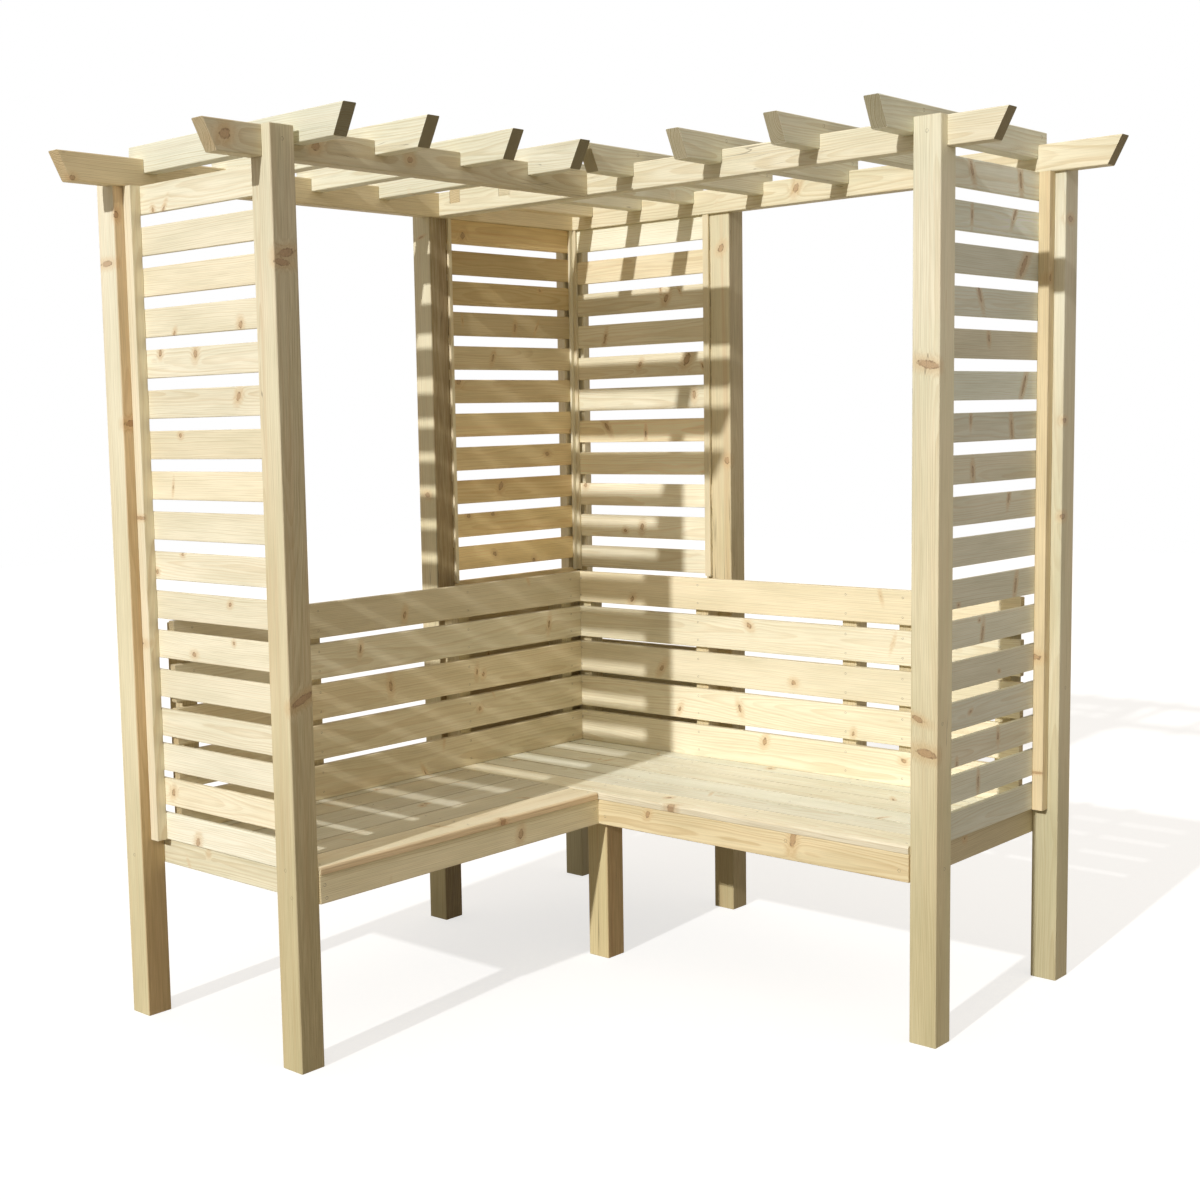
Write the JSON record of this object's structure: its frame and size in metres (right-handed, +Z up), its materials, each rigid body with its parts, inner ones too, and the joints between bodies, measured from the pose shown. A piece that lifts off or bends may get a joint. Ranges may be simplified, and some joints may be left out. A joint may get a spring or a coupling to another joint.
{
  "type": "corner arbour seat",
  "caption": "L-shaped timber garden seat in a corner pergola, with slatted screens, slatted seat and back, and an open rafter roof.",
  "frame": {"origin": "on the ground, under the middle of the whole arbour, the roof tips included", "axes": "+Z up; +X along the right seat wing, away from the corner; +Y from the open end of the left wing towards the back of the right wing"},
  "size_m": [1.852, 1.955, 2.205],
  "materials": {
    "post_timber": "planed, square-edged posts of pale softwood with a light green tint from pressure treatment",
    "roof_timber": "planed pale softwood with visible grain and brown knots",
    "slat_timber": "smooth planed thin slats of pale cream softwood",
    "rail_timber": "planed pale softwood rails with grain and knots",
    "board_timber": "smooth planed boards of pale cream softwood with rounded front edge",
    "frame_timber": "planed softwood framing, less finished because it is behind the boards",
    "fixings": "dull zinc-plated nail and screw heads, driven just below the face of the timber"
  },
  "bodies": {
    "root": {"back_board_left_1": "board_timber", "back_board_left_2": "board_timber", "back_board_left_3": "board_timber", "back_board_left_4": "board_timber", "back_board_left_5": "board_timber", "back_board_right_1": "board_timber", "back_board_right_2": "board_timber", "back_board_right_3": "board_timber", "back_board_right_4": "board_timber", "back_board_right_5": "board_timber", "back_frame_left": "frame_timber", "back_frame_right": "frame_timber", "beam_left_front": "roof_timber", "beam_left_outer": "roof_timber", "beam_right_front": "roof_timber", "beam_right_outer": "roof_timber", "joist_left_1": "frame_timber", "joist_left_2": "frame_timber", "joist_right_1": "frame_timber", "joist_right_2": "frame_timber", "joist_right_3": "frame_timber", "leg_inner_corner": "post_timber", "panel_left_corner": "slat_timber", "panel_left_end": "slat_timber", "panel_right_corner": "slat_timber", "panel_right_end": "slat_timber", "post_corner": "post_timber", "post_left_back": "post_timber", "post_left_front": "post_timber", "post_left_outer": "post_timber", "post_right_back": "post_timber", "post_right_front": "post_timber", "post_right_outer": "post_timber", "rafter_left_1": "roof_timber", "rafter_left_2": "roof_timber", "rafter_left_3": "roof_timber", "rafter_left_4": "roof_timber", "rafter_right_1": "roof_timber", "rafter_right_2": "roof_timber", "rafter_right_3": "roof_timber", "rafter_right_4": "roof_timber", "rafter_right_5": "roof_timber", "rafter_right_6": "roof_timber", "rafter_right_7": "roof_timber", "rail_left_end": "rail_timber", "rail_left_front": "rail_timber", "rail_right_end": "rail_timber", "rail_right_front": "rail_timber", "seat_board_left_1": "board_timber", "seat_board_left_2": "board_timber", "seat_board_left_3": "board_timber", "seat_board_left_4": "board_timber", "seat_board_left_5": "board_timber", "seat_board_left_6": "board_timber", "seat_board_right_1": "board_timber", "seat_board_right_2": "board_timber", "seat_board_right_3": "board_timber", "seat_board_right_4": "board_timber", "seat_board_right_5": "board_timber", "seat_board_right_6": "board_timber"}
  },
  "joints": []
}
